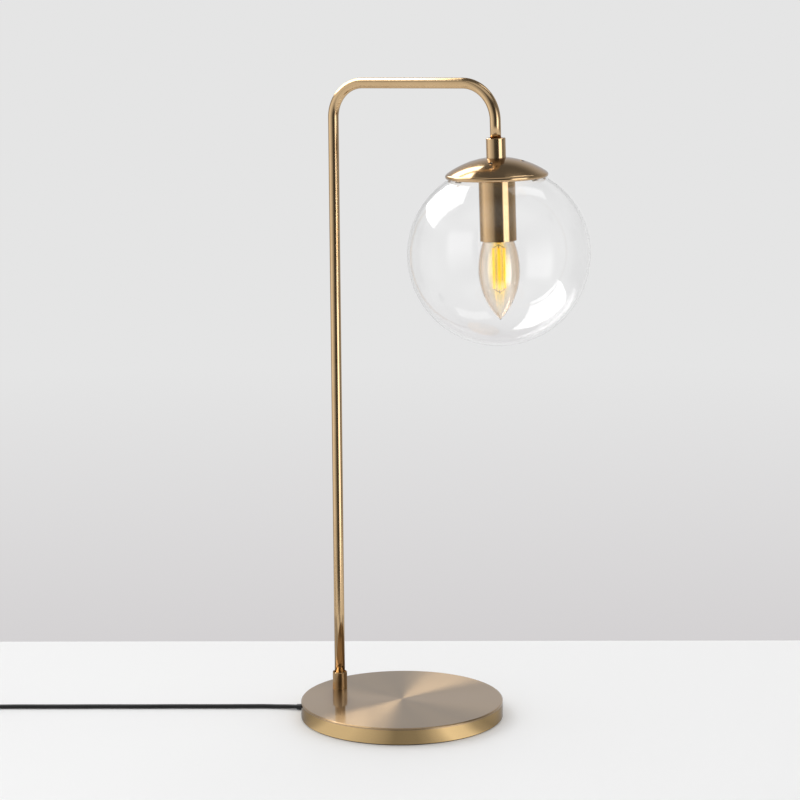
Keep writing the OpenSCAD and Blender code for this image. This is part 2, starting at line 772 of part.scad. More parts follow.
module bulb_filaments() {
    color("#ffd84a") in_head() for (k = [0 : filaments - 1]) let (f = filament_at(k))
        translate([f[0], f[1], -filament_top - filament_len + wire_r]) cylinder(h = filament_len - 2 * wire_r,
            d = filament_d, $fn = 24);
}

// Cord

function switch_face(s) = let (u = flat_dir(cord_heading)) [switch_pos[0], switch_pos[1], switch_low_h]
    + s * switch_len / 2 * u;

// The coil's line: it spirals in and out by turns, and climbs a layer in the half turn round each reversal
function coil_at(u) = let (k = floor(u / layer_turns), w = u - k * layer_turns,
        near = round(u / layer_turns), off = u - near * layer_turns,
        climb = near < 1 || near > coil_layers - 1 ? k
            : near - 1 + (off < -0.25 ? 0 : off > 0.25 ? 1 : 0.5 + 0.5 * sin(360 * off)),
        r = k % 2 == 0 ? coil_out_r - w * coil_pitch : coil_in_r + w * coil_pitch,
        a = coil_start + 360 * u)
    [coil_pos[0] + r * cos(a), coil_pos[1] + r * sin(a),
        coil_low + cord_r + min(climb, coil_layers - 1) * coil_pitch];
coil_steps = round(coil_turns * loop_rings);
coil_loops = [for (i = [0 : coil_steps]) coil_at(min(i / loop_rings, coil_turns - 0.00001))];
coil_first = coil_loops[0] - cord_d * flat_dir(cord_heading);
coil_last = coil_loops[coil_steps] + cord_d * flat_dir(plug_heading);
coil_points = concat([coil_first], coil_loops, [coil_last]);

run_route = concat([for (p = [[0, exit_z], [4, 2.5], [9, 2.3]])
        (relief_outer + p[0]) * flat_dir(exit_angle) + [0, 0, p[1]]],
    [for (p = run_points) if (norm([p[0], p[1]]) > relief_outer + run_start) p], [switch_face(-1)]);
link_route = concat([switch_face(1)], link_points, [coil_first]);
tail_route = concat([coil_last], tail_points,
    [[plug_pos[0], plug_pos[1], plug_z] - rest * flat_dir(plug_heading)]);

// Least gap between parts of the coil that are more than a third of a loop apart along it
apart = round(loop_rings / 3);
coil_least = min([for (i = [0 : len(coil_points) - 1 - apart])
    min([for (j = [i + apart : min(i + 3 * loop_rings * ceil(layer_turns), len(coil_points) - 1)])
        norm(coil_points[i] - coil_points[j])])]);
echo(coil_least_gap = coil_least - cord_d);
echo(cord_length = relief_out + path_length(smooth(run_route, 10)) + switch_len
    + path_length(smooth(link_route, 10)) + path_length(coil_points) + path_length(smooth(tail_route, 10)));

module cord_run() {
    color("#101010") swept(smooth(run_route, 2.9 * cord_d), cord_r, 8, [0, 0, 1]);
}

module cord_link() {
    color("#101010") swept(smooth(link_route, 2.9 * cord_d), cord_r, 8, [0, 0, 1]);
}

module cord_coil() {
    color("#101010") swept(coil_points, cord_r, 6, [0, 0, 1]);
}

module cord_tail() {
    color("#101010") swept(smooth(tail_route, 2.9 * cord_d), cord_r, 8, [0, 0, 1]);
}

// A flat band closed round all the loops
module cord_tie() {
    inner = coil_in_r - cord_r - rest;
    outer = coil_out_r + cord_r + rest;
    top = coil_low + cord_d + (coil_layers - 1) * coil_pitch + rest;
    color("#0c0c0c") translate([coil_pos[0], coil_pos[1], 0]) rotate([0, 0, cord_heading + 180])
        rotate([90, 0, 0]) linear_extrude(5, center = true) difference() {
            polygon([[inner - tie_t, 0], [outer + tie_t, 0], [outer + tie_t, top + tie_t], [inner - tie_t,
                top + tie_t]]);
            polygon([[inner, tie_t], [outer, tie_t], [outer, top], [inner, top]]);
        }
}

// Switch

// Straight sides and round ends, cut flat where the cord goes in
module switch_outline(inward) {
    intersection() {
        square([switch_len - 2 * inward, switch_w], center = true);
        union() {
            square([2 * switch_round_x, switch_w - 2 * inward], center = true);
            for (s = [-1, 1]) translate([s * switch_round_x, 0]) circle(d = switch_w - 2 * inward, $fn = 96);
        }
    }
}

module switch_base() {
    post_in = rocker_w / 2 + post_gap;
    color("#141414") at_switch() difference() {
        union() {
            difference() {
                linear_extrude(switch_low_h) switch_outline(0);
                translate([0, 0, switch_wall]) linear_extrude(switch_h) switch_outline(switch_wall);
            }
            for (s = [-1, 1]) translate([-3, s > 0 ? post_in : -post_in - post_t, switch_wall - 0.5])
                cube([6, post_t, pivot_z - switch_wall + 2.3]);
            switch_screw_places() translate([0, 0, 1]) cylinder(h = switch_low_h - 1, r = boss_r, $fn = 32);
        }
        translate([0, -switch_w, pivot_z]) rotate([-90, 0, 0]) cylinder(h = 2 * switch_w,
            r = trunnion_r + trunnion_fit, $fn = 32);
        switch_screw_places() {
            translate([0, 0, -over]) cylinder(h = switch_h, r = 1.3, $fn = 24);
            translate([0, 0, -over]) cylinder(h = 2 + over, r = 2.6, $fn = 32);
        }
    }
}

module switch_screw_places() {
    for (s = [-1, 1]) translate([s * (switch_len / 2 - boss_inset), 0, 0]) children();
}

// A flat shape with its two upper corners rounded
module round_topped(w, h, r) {
    translate([-w / 2, 0]) square([w, h - r]);
    translate([r - w / 2, 0]) square([w - 2 * r, h]);
    for (s = [-1, 1]) translate([s * (w / 2 - r), h - r]) circle(r = r, $fn = 48);
}

// The outline carried up, with its long edges and its ends rounded over
module switch_crown(inward) {
    intersection() {
        linear_extrude(switch_h) switch_outline(inward);
        rotate([90, 0, 90]) linear_extrude(2 * switch_len, center = true)
            round_topped(switch_w - 2 * inward, switch_h - inward, crown_r);
        rotate([90, 0, 0]) linear_extrude(2 * switch_w, center = true)
            round_topped(switch_len - 2 * inward, switch_h - inward, crown_r);
    }
}

module switch_cover() {
    color("#141414") at_switch() difference() {
        union() {
            difference() {
                switch_crown(0);
                switch_crown(switch_wall + 0.4);
            }
            switch_screw_places() cylinder(h = switch_h - over, r = boss_r, $fn = 32);
        }
        translate([0, 0, switch_low_h - switch_len]) cube([2 * switch_len, 2 * switch_len, 2 * switch_len],
            center = true);
        translate([-rocker_len / 2 - 1, -rocker_w / 2 - rocker_room, switch_low_h - over])
            cube([rocker_len + 2, rocker_w + 2 * rocker_room, switch_h]);
        switch_screw_places() translate([0, 0, switch_low_h - over])
            cylinder(h = screw_reach + over, r = 1.1, $fn = 24);
    }
}

// Tipped to the on side, it turns by twice its tip to switch off
module switch_rocker() {
    half = rocker_len / 2;
    color("#1c1c1c") at_switch() translate([0, 0, pivot_z]) rotate([0, -rocker_tip, 0]) {
        rotate([90, 0, 0]) linear_extrude(rocker_w, center = true) polygon([[-half, 5.2], [-half, 3],
            [-half + 1.5, 0.5], [-2.5, -2.6], [2.5, -2.6], [half - 1.5, 0.5], [half, 3], [half, 5.2],
            [half * 0.55, 4.1], [0, 3.7], [-half * 0.55, 4.1]]);
        rotate([90, 0, 0]) cylinder(h = rocker_w + 2 * post_gap + 2 * post_t - 0.4, r = trunnion_r,
            center = true, $fn = 32);
    }
}

module switch_terminals() {
    color("#c9a45a") at_switch() for (s = [-1, 1]) translate([s * 12.5, 0, switch_wall]) difference() {
        translate([-4, -3, 0]) cube([8, 6, 4.5]);
        translate([-5, 0, 2.2]) rotate([0, 90, 0]) cylinder(h = 10, r = 1.3, $fn = 24);
    }
}

module switch_screws() {
    color("#8d8a84") at_switch() switch_screw_places() difference() {
        union() {
            translate([0, 0, 0.5]) cylinder(h = 1.5, r = 2.5, $fn = 32);
            translate([0, 0, 2]) cylinder(h = switch_low_h - 2 + screw_reach - over, r = 1, $fn = 24);
        }
        translate([-3, -0.3, -over]) cube([6, 0.6, 2]);
    }
}

// Plug

// The flat body narrows towards the cord as seen from above and from the side, and has cut edges all along
module plug_body() {
    front = relief_len + plug_len;
    bend_from = relief_len + plug_len * 0.45;
    neck_w = plug_w * 0.42;
    color("#121212") at_plug() {
        intersection() {
            linear_extrude(plug_t, center = true) polygon([[relief_len, -neck_w / 2],
                [bend_from, -plug_w * 0.43], [front - 5, -plug_w / 2], [front, -plug_w / 2],
                [front, plug_w / 2], [front - 5, plug_w / 2], [bend_from, plug_w * 0.43],
                [relief_len, neck_w / 2]]);
            rotate([90, 0, 90]) linear_extrude(front) plug_face(plug_w, plug_t);
            rotate([90, 0, 0]) linear_extrude(plug_w, center = true) polygon([[relief_len, -plug_t * 0.4],
                [bend_from, -plug_t / 2], [front, -plug_t / 2], [front, plug_t / 2],
                [bend_from, plug_t / 2], [relief_len, plug_t * 0.4]]);
        }
        rotate([90, 0, 90]) rotate_extrude($fn = 48) difference() {
            polygon([[0, 0], [relief_end_r, 0], [relief_wide, relief_len], [relief_wide, relief_len + 2],
                [0, relief_len + 2]]);
            for (k = [1 : relief_grooves])
                translate([relief_end_r + 0.8, k * relief_len / (relief_grooves + 1)]) square([relief_wide, 1.1]);
        }
    }
}

// The plug as seen from its pins: a flat shape with its four corners cut
module plug_face(w, t) {
    cut = t * 0.28;
    polygon([[-w / 2, -t / 2 + cut], [-w / 2 + cut, -t / 2], [w / 2 - cut, -t / 2], [w / 2, -t / 2 + cut],
        [w / 2, t / 2 - cut], [w / 2 - cut, t / 2], [-w / 2 + cut, t / 2], [-w / 2, t / 2 - cut]]);
}

module pin_places() {
    at_plug() for (s = [-1, 1]) translate([relief_len + plug_len, s * pin_gap / 2, 0]) rotate([0, 90, 0])
        children();
}

module plug_pins() {
    color("#cfcfcb") pin_places() union() {
        cylinder(h = 10, r = pin_d / 2 - 0.6, $fn = 32);
        translate([0, 0, 10]) cylinder(h = pin_len - 11, d = pin_d, $fn = 32);
        translate([0, 0, pin_len - 1]) cylinder(h = 1, r1 = pin_d / 2, r2 = pin_d / 2 - 0.8, $fn = 32);
    }
}

module pin_sleeves() {
    color("#1a1a1a") pin_places() difference() {
        cylinder(h = 10, r = pin_d / 2 - 0.1, $fn = 32);
        translate([0, 0, -over]) cylinder(h = 10 + 2 * over, r = pin_d / 2 - 0.6 + fit, $fn = 32);
    }
}

base_cover();
base_weight();
base_pad();
foot_collar();
foot_stud();
foot_washer();
foot_nut();
cord_relief();
base_lead();
arm_tube();
arm_lead();
coupling();
coupling_screw();
head_nipple();
dome_cap();
globe_spring();
lock_nut();
glass_globe();
holder_sleeve();
holder_cap();
holder_skirt();
holder_core();
terminal_screws();
socket_shell();
centre_contact();
bulb_cap();
bulb_insulator();
bulb_contact();
bulb_glass();
bulb_stem();
bulb_wires();
bulb_filaments();
cord_run();
cord_link();
cord_coil();
cord_tail();
cord_tie();
switch_base();
switch_cover();
switch_rocker();
switch_terminals();
switch_screws();
plug_body();
plug_pins();
pin_sleeves();
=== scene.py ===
"""Looks of a bedside lamp: a turned base, a bent tube arm and a clear globe round a candle bulb."""

import math

import bmesh
import bpy
from mathutils import Matrix, Vector


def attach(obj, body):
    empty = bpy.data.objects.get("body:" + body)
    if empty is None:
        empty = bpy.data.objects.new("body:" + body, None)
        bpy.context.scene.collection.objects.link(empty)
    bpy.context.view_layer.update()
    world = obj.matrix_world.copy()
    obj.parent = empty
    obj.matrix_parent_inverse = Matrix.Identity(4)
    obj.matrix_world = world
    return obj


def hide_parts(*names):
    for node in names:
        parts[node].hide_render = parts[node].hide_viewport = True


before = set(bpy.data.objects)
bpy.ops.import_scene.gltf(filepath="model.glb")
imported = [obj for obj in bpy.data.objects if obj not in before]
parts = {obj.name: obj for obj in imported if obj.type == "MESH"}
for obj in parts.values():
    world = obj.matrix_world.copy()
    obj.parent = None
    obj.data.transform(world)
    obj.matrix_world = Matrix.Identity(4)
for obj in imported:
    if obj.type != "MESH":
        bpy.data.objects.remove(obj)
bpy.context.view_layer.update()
scene = bpy.context.scene
MM = 0.001


# Camera

CAMERA_AT = Vector((1.23296, -1.98499, 0.71148))
LENS = 125.73
SENSOR = 36
SEES_TO = 50
LOOK = math.radians(31.84)
DOWN = math.radians(10.4986)
ROLL = math.radians(-0.4378)
to_right = Vector((math.cos(LOOK), math.sin(LOOK), 0))
away = Vector((-math.sin(LOOK), math.cos(LOOK), 0))


def make_camera():
    ahead = away * math.cos(DOWN) - Vector((0, 0, math.sin(DOWN)))
    up = to_right.cross(ahead)
    right = to_right * math.cos(ROLL) + up * math.sin(ROLL)
    top = up * math.cos(ROLL) - to_right * math.sin(ROLL)
    camera = bpy.data.objects.new("camera", bpy.data.cameras.new("camera"))
    camera.data.lens = LENS
    camera.data.sensor_width = SENSOR
    camera.data.clip_end = SEES_TO
    turn = Matrix((right, top, -ahead)).transposed().to_4x4()
    camera.matrix_world = Matrix.Translation(CAMERA_AT) @ turn
    scene.collection.objects.link(camera)
    scene.camera = camera


# Cord: the same points as the source's, in millimetres

CORD_D = 3.8
CORD_HEADING = 210.6
EXIT_ANGLE = 200
SWITCH_LEN = 58
SWITCH_LOW = 7.5
SWITCH_AT = (-371, -195)
COIL_AT = (-418, -255)
PLUG_AT = (-365, -256, 6.95)
COIL_TURNS = 9.5
COIL_LAYERS = 4
COIL_PITCH = 4.4
COIL_IN = 16.8
COIL_LOW = 1.0
COIL_CLIMB = 0.25
COIL_LAST = COIL_TURNS - 0.00001
LOOP_RINGS = 24
CORD_STEP = 4
TAIL_STEP = 3
EXIT_POINTS = [(94, 2.6), (98, 2.5), (103, 2.3)]
RUN_POINTS = [
    (-105, -38.6, 2), (-112.5, -42.3, 2), (-120, -46.5, 2),
    (-150, -64.5, 2), (-180, -82, 2), (-210, -100, 2), (-240, -117.5, 2), (-270, -135.5, 2),
    (-300, -153, 2), (-318, -163.8, 2), (-326, -168.5, 3), (-333, -172.6, 5.2), (-339, -176.1, 7),
]
LINK_POINTS = [(-402, -213.3, 7.2), (-409, -217.5, 5.6), (-416, -221.7, 3.8), (-422, -225.3, 3)]
TAIL_POINTS = [(-394, -272.7, 15.9), (-387, -268.6, 14), (-379, -263.9, 10.4), (-372, -259.8, 7.8)]


def heading(degrees):
    a = math.radians(degrees)
    return Vector((math.cos(a), math.sin(a), 0))


def smooth_line(points, step):
    """Points close together on a smooth curve through the given ones."""
    points = [Vector(p) for p in points]
    line = []
    for i in range(len(points) - 1):
        a, b = points[max(i - 1, 0)], points[i]
        c, d = points[i + 1], points[min(i + 2, len(points) - 1)]
        n = math.ceil((c - b).length / step)
        for j in range(n):
            t = j / n
            line.append(0.5 * (2 * b + (c - a) * t + (2 * a - 5 * b + 4 * c - d) * t * t
                               + (3 * b - a - 3 * c + d) * t * t * t))
    return line + [points[-1]]


def coil_point(u):
    """The coil's line after u turns: in and out by turns, a layer up round each reversal."""
    turns = COIL_TURNS / COIL_LAYERS
    k = math.floor(u / turns)
    near = round(u / turns)
    off = u - near * turns
    if near < 1 or near > COIL_LAYERS - 1:
        climb = k
    elif abs(off) > COIL_CLIMB:
        climb = near if off > 0 else near - 1
    else:
        climb = near - 0.5 + 0.5 * math.sin(math.tau * off)
    spread = (u - k * turns) * COIL_PITCH
    outer = COIL_IN + turns * COIL_PITCH
    r = outer - spread if k % 2 == 0 else COIL_IN + spread
    height = COIL_LOW + CORD_D / 2 + min(climb, COIL_LAYERS - 1) * COIL_PITCH
    return Vector((*COIL_AT, height)) + r * heading(CORD_HEADING - 90 + 360 * u)


def cord_line():
    ahead = heading(CORD_HEADING)
    back = heading(CORD_HEADING + 360 * COIL_TURNS)
    middle = Vector((*SWITCH_AT, SWITCH_LOW))
    out = [r * heading(EXIT_ANGLE) + Vector((0, 0, z)) for r, z in EXIT_POINTS]
    steps = round(COIL_TURNS * LOOP_RINGS)
    loops = [coil_point(min(i / LOOP_RINGS, COIL_LAST)) for i in range(steps + 1)]
    first = loops[0] - CORD_D * ahead
    last = loops[-1] + CORD_D * back
    run = smooth_line([*out, *RUN_POINTS, middle - SWITCH_LEN / 2 * ahead], CORD_STEP)
    link = smooth_line([middle + SWITCH_LEN / 2 * ahead, *LINK_POINTS, first], CORD_STEP)
    tail = smooth_line([last, *TAIL_POINTS, PLUG_AT], TAIL_STEP)
    return run + link + loops + tail


def make_cord():
    line = cord_line()
    curve = bpy.data.curves.new("cord", "CURVE")
    curve.dimensions = "3D"
    curve.bevel_depth = CORD_D / 2 * MM
    curve.bevel_resolution = 3
    curve.use_fill_caps = True
    spline = curve.splines.new("POLY")
    spline.points.add(len(line) - 1)
    for point, place in zip(spline.points, line):
        point.co = (*(place * MM), 1)
    spline.use_smooth = True
    cord = bpy.data.objects.new("cord", curve)
    scene.collection.objects.link(cord)
    curve.materials.append(cable_black)
    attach(cord, "lamp")
    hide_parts("cord_run", "cord_link", "cord_coil", "cord_tail")


# Nodes that several finishes, the table and the world are built from

def feed(tree, socket, value):
    """Links another socket to this one, or sets this one's own value."""
    if isinstance(value, bpy.types.NodeSocket):
        tree.links.new(value, socket)
    else:
        socket.default_value = value


def math_node(tree, operation, *values):
    """A maths node fed by sockets or numbers, and its result."""
    node = tree.nodes.new("ShaderNodeMath")
    node.operation = operation
    for socket, value in zip(node.inputs, values):
        feed(tree, socket, value)
    return node.outputs[0]


def add(tree, a, b):
    return math_node(tree, "ADD", a, b)


def times(tree, a, b):
    return math_node(tree, "MULTIPLY", a, b)


def blend(tree, factor, first, second):
    """First where the factor is 0, second where it is 1."""
    return add(tree, times(tree, math_node(tree, "SUBTRACT", 1, factor), first), times(tree, factor, second))


def map_range(tree, value, low, high, start=0.0, end=1.0, kind="LINEAR"):
    """The value from low to high mapped to start to end."""
    node = tree.nodes.new("ShaderNodeMapRange")
    node.interpolation_type = kind
    limits = {"From Min": low, "From Max": high, "To Min": start, "To Max": end}
    for label, limit in limits.items():
        node.inputs[label].default_value = limit
    tree.links.new(value, node.inputs["Value"])
    return node.outputs[0]


def soft_step(tree, value, low, high, start=0.0, end=1.0):
    return map_range(tree, value, low, high, start, end, "SMOOTHSTEP")


def split_xyz(tree, vector):
    node = tree.nodes.new("ShaderNodeSeparateXYZ")
    tree.links.new(vector, node.inputs[0])
    return node.outputs


def mix_colors(tree, factor, first, second):
    """The first colour where the factor is 0, the second where it is 1."""
    node = tree.nodes.new("ShaderNodeMix")
    node.data_type = "RGBA"
    feed(tree, node.inputs["Factor"], factor)
    feed(tree, node.inputs["A"], first)
    feed(tree, node.inputs["B"], second)
    return node.outputs["Result"]


def color_ramp(tree, value, tones):
    """Colours along a value, given as positions and colours."""
    ramp = tree.nodes.new("ShaderNodeValToRGB")
    elements = ramp.color_ramp.elements
    for element, (position, tone) in zip(elements, (tones[0], tones[-1])):
        element.position = position
        element.color = (*tone, 1)
    for position, tone in tones[1:-1]:
        elements.new(position).color = (*tone, 1)
    tree.links.new(value, ramp.inputs[0])
    return ramp.outputs[0]


def noise(tree, vector, scale, detail, rough):
    node = tree.nodes.new("ShaderNodeTexNoise")
    node.inputs["Detail"].default_value = detail
    node.inputs["Roughness"].default_value = rough
    tree.links.new(scale, node.inputs["Scale"])
    tree.links.new(vector, node.inputs["Vector"])
    return node.outputs["Fac"]


# Node groups that several finishes share

LATHE_LINES = 9000


def new_group(name, inputs, output):
    """An empty node group with number or vector inputs and one number out, its tree and its end nodes."""
    tree = bpy.data.node_groups.new(name, "ShaderNodeTree")
    for label, value in inputs.items():
        kind = "NodeSocketVector" if value is None else "NodeSocketFloat"
        socket = tree.interface.new_socket(name=label, in_out="INPUT", socket_type=kind)
        if value is not None:
            socket.default_value = value
    tree.interface.new_socket(name=output, in_out="OUTPUT", socket_type="NodeSocketFloat")
    return tree, tree.nodes.new("NodeGroupInput"), tree.nodes.new("NodeGroupOutput")


def turned_lines_group():
    """Fine rings left by turning: a value that changes with radius and height but not round the axis."""
    tree, given, result = new_group("turned_lines", {"Vector": None, "Lines per metre": LATHE_LINES}, "Lines")
    x, y, z = split_xyz(tree, given.outputs["Vector"])
    radius = math_node(tree, "SQRT", add(tree, times(tree, x, x), times(tree, y, y)))
    joined = tree.nodes.new("ShaderNodeCombineXYZ")
    tree.links.new(radius, joined.inputs[0])
    tree.links.new(z, joined.inputs[2])
    fine = noise(tree, joined.outputs[0], given.outputs["Lines per metre"], detail=2, rough=0.6)
    tree.links.new(fine, result.inputs["Lines"])
    return tree


def handling_group():
    """Broad soft patches where hands and cloths have dulled the surface."""
    tree, given, result = new_group("handling", {"Vector": None, "Size": 18}, "Patches")
    broad = noise(tree, given.outputs["Vector"], given.outputs["Size"], detail=4, rough=0.55)
    tree.links.new(broad, result.inputs["Patches"])
    return tree


def fine_grain_group():
    """The close grain of moulded plastic and rubber, as a height."""
    tree, given, result = new_group("fine_grain", {"Vector": None, "Size": 2500}, "Height")
    grain = noise(tree, given.outputs["Vector"], given.outputs["Size"], detail=2, rough=0.5)
    tree.links.new(grain, result.inputs["Height"])
    return tree


turned_lines = turned_lines_group()
handling = handling_group()
fine_grain = fine_grain_group()


# Finishes

METAL_EDGE = (0.56, 0.55, 0.56, 1)
# The part of a noise value that is spread over a finish's two tones
NOISE_LOW = 0.3
NOISE_HIGH = 0.7
RINGS_SHARE = 0.7
# Patches a metre on turned, drawn, plain and moulded pieces and on the filaments
TURNED_PATCHES = 22
DRAWN_PATCHES = 60
PLAIN_PATCHES = 120
MOULDED_PATCHES = 60
FILAMENT_PATCHES = 500
# The base's side, below its bevel: smoother than its top, with a brighter colour that is painted light
RIM_TOP = 0.0134
RIM_FADE = 0.0006
RIM_ROUGH = 0.15
RIM_ANISOTROPY = 0.4
RIM_LACQUER = 0.2
RIM_PAINTED_LIGHT_COLOR = (0.66, 0.46, 0.22, 1)
# The bulb's glass: tints from its middle to its edges, and a painted glow of the filaments on the glass in
# its middle
EDGE_TINTS = [(0.0, (1.0, 0.96, 0.9)), (0.3, (1.0, 0.91, 0.8)), (0.6, (0.98, 0.8, 0.62)),
              (0.85, (0.96, 0.6, 0.36))]
GLOW_LOW = 0.35
GLOW_HIGH = 0.364
GLOW_MIDDLE = 0.02
GLOW_SIDE = 0.09
GLOW_TINT = (1.0, 0.9, 0.5, 1)
GLOW_COLOR = (1.0, 0.6, 0.1, 1)
GLOW_STRENGTH = 0.07


def new_finish(name, color, **constants):
    """A material with one Principled shader, its constants set on the shader's own sockets."""
    material = bpy.data.materials.new(name)
    material.use_nodes = True
    shader = material.node_tree.nodes["Principled BSDF"]
    shader.inputs["Base Color"].default_value = (*color, 1)
    for label, value in constants.items():
        shader.inputs[label.replace("_", " ")].default_value = value
    return material, material.node_tree, shader


def object_place(tree, centre=(0, 0, 0)):
    """Object coordinates counted from a centre given in metres."""
    place = tree.nodes.new("ShaderNodeTexCoord")
    shift = tree.nodes.new("ShaderNodeMapping")
    shift.inputs["Location"].default_value = [-c for c in centre]
    tree.links.new(place.outputs["Object"], shift.inputs["Vector"])
    return shift.outputs[0]


def use_group(tree, group, place, **values):
    node = tree.nodes.new("ShaderNodeGroup")
    node.node_tree = group
    tree.links.new(place, node.inputs["Vector"])
    for label, value in values.items():
        node.inputs[label.replace("_", " ")].default_value = value
    return node.outputs[0]


def two_tones(tree, value, dark, light):
    return color_ramp(tree, value, [(NOISE_LOW, dark), (NOISE_HIGH, light)])


def vary(tree, shader, value, dark, light, rough, change):
    """Lets a noise value move the colour between two tones and the roughness by a little."""
    tree.links.new(two_tones(tree, value, dark, light), shader.inputs["Base Color"])
    tree.links.new(map_range(tree, value, NOISE_LOW, NOISE_HIGH, rough - change, rough + change),
                   shader.inputs["Roughness"])


def polish_rim_and_paint_light(tree, shader, anisotropy, lacquer):
    """Makes the side of the base smoother than its brushed top, and paints light on it as a brighter colour.
    """
    color = shader.inputs["Base Color"].links[0].from_socket
    rough = shader.inputs["Roughness"].links[0].from_socket
    height = split_xyz(tree, object_place(tree))[2]
    rim = soft_step(tree, height, RIM_TOP - RIM_FADE, RIM_TOP, 1, 0)
    # Painted light: the side gets a brighter colour than the top of the same metal
    tree.links.new(mix_colors(tree, rim, color, RIM_PAINTED_LIGHT_COLOR), shader.inputs["Base Color"])
    tree.links.new(blend(tree, rim, rough, RIM_ROUGH), shader.inputs["Roughness"])
    tree.links.new(blend(tree, rim, anisotropy, RIM_ANISOTROPY), shader.inputs["Anisotropic"])
    tree.links.new(blend(tree, rim, lacquer, RIM_LACQUER), shader.inputs["Coat Weight"])


def turned_metal(name, dark, light, rough, change, anisotropy, lacquer=0.5, centre=(0, 0, 0),
                 polished_rim_painted_light=False):
    """Lacquered metal brushed on a lathe: its shine runs across the rings."""
    material, tree, shader = new_finish(
        name, light, Metallic=1.0, Anisotropic=anisotropy, Anisotropic_Rotation=0.25,
        Specular_Tint=METAL_EDGE, Coat_Weight=lacquer, Coat_Roughness=0.04)
    place = object_place(tree, centre)
    rings = use_group(tree, turned_lines, place, Lines_per_metre=LATHE_LINES)
    patches = use_group(tree, handling, place, Size=TURNED_PATCHES)
    mixed = add(tree, times(tree, rings, RINGS_SHARE), times(tree, patches, 1 - RINGS_SHARE))
    vary(tree, shader, mixed, dark, light, rough, change)
    tangent = tree.nodes.new("ShaderNodeTangent")
    tangent.direction_type = "RADIAL"
    tangent.axis = "Z"
    tree.links.new(tangent.outputs[0], shader.inputs["Tangent"])
    if polished_rim_painted_light:
        polish_rim_and_paint_light(tree, shader, anisotropy, lacquer)
    return material


def drawn_metal(name, dark, light, rough):
    """Tube drawn and polished along its length: its shine runs along the tube."""
    material, tree, shader = new_finish(name, light, Metallic=1.0, Anisotropic=0.4, Specular_Tint=METAL_EDGE)
    patches = use_group(tree, handling, object_place(tree), Size=DRAWN_PATCHES)
    vary(tree, shader, patches, dark, light, rough, change=0.02)
    tangent = tree.nodes.new("ShaderNodeTangent")
    tangent.direction_type = "UV_MAP"
    tangent.uv_map = "along"
    tree.links.new(tangent.outputs[0], shader.inputs["Tangent"])
    return material


def plain_metal(name, dark, light, rough):
    material, tree, shader = new_finish(name, light, Metallic=1.0)
    patches = use_group(tree, handling, object_place(tree), Size=PLAIN_PATCHES)
    vary(tree, shader, patches, dark, light, rough, change=0.05)
    return material


def moulded(name, dark, light, rough, grain_size, depth):
    """Moulded plastic or rubber with a close grain."""
    material, tree, shader = new_finish(name, light)
    place = object_place(tree)
    patches = use_group(tree, handling, place, Size=MOULDED_PATCHES)
    vary(tree, shader, patches, dark, light, rough, change=0.05)
    bump = tree.nodes.new("ShaderNodeBump")
    bump.inputs["Distance"].default_value = depth
    bump.inputs["Strength"].default_value = 1.0
    tree.links.new(use_group(tree, fine_grain, place, Size=grain_size), bump.inputs["Height"])
    tree.links.new(bump.outputs[0], shader.inputs["Normal"])
    return material


def clear_glass(name, color, ior):
    return new_finish(name, color, Roughness=0.0, IOR=ior, Transmission_Weight=1.0)[0]


def amber_glass(name):
    """Thin tinted glass: deeper at its edges, with a painted golden glow where the filaments shine through
    its middle.
    """
    material, tree, shader = new_finish(
        name, (1.0, 0.96, 0.91), Roughness=0.0, IOR=1.5, Coat_Weight=1.0, Coat_IOR=1.9, Coat_Roughness=0.0,
        Transmission_Weight=1.0, Emission_Color=GLOW_COLOR)
    weight = tree.nodes.new("ShaderNodeLayerWeight")
    weight.inputs["Blend"].default_value = 0.5
    facing = weight.outputs["Facing"]
    above_tip = map_range(tree, split_xyz(tree, object_place(tree))[2], GLOW_LOW, GLOW_HIGH)
    glow = times(tree, soft_step(tree, facing, GLOW_MIDDLE, GLOW_SIDE, 1, 0), above_tip)
    tinted = color_ramp(tree, facing, EDGE_TINTS)
    tree.links.new(mix_colors(tree, glow, tinted, GLOW_TINT), shader.inputs["Base Color"])
    tree.links.new(times(tree, glow, GLOW_STRENGTH), shader.inputs["Emission Strength"])
    return material


def glowing(name, color, dark, light, strength):
    material, tree, shader = new_finish(name, color, Roughness=0.6, Emission_Strength=strength)
    patches = use_group(tree, handling, object_place(tree), Size=FILAMENT_PATCHES)
    tree.links.new(two_tones(tree, patches, dark, light), shader.inputs["Emission Color"])
    return material


# Each with its dark and light tone and its roughness, and moulded ones with grain a metre and its depth
POST_AT = (-0.064, 0, 0)
DROP_AT = (0.0955, 0, 0.4)
base_bronze = turned_metal("turned_bronze_base", (0.49, 0.325, 0.17), (0.58, 0.4, 0.22), 0.3, change=0.03,
                           anisotropy=1.0, lacquer=1.0, polished_rim_painted_light=True)
foot_bronze = turned_metal("turned_bronze_foot", (0.6, 0.4, 0.2), (0.66, 0.45, 0.235), 0.15, change=0.02,
                           anisotropy=0.5, lacquer=0.2, centre=POST_AT)
head_bronze = turned_metal("turned_bronze_head", (0.56, 0.37, 0.19), (0.66, 0.455, 0.25), 0.15, change=0.03,
                           anisotropy=0.5, centre=DROP_AT)
tube_bronze = drawn_metal("drawn_bronze_tube", (0.62, 0.43, 0.235), (0.66, 0.465, 0.265), 0.14)
zinc_steel = plain_metal("zinc_steel", (0.48, 0.48, 0.46), (0.62, 0.62, 0.6), 0.32)
spring_steel = plain_metal("spring_steel", (0.42, 0.41, 0.38), (0.56, 0.55, 0.52), 0.28)
nickel = plain_metal("nickel_plate", (0.66, 0.64, 0.6), (0.76, 0.74, 0.7), 0.2)
brass = plain_metal("contact_brass", (0.66, 0.48, 0.22), (0.8, 0.62, 0.32), 0.25)
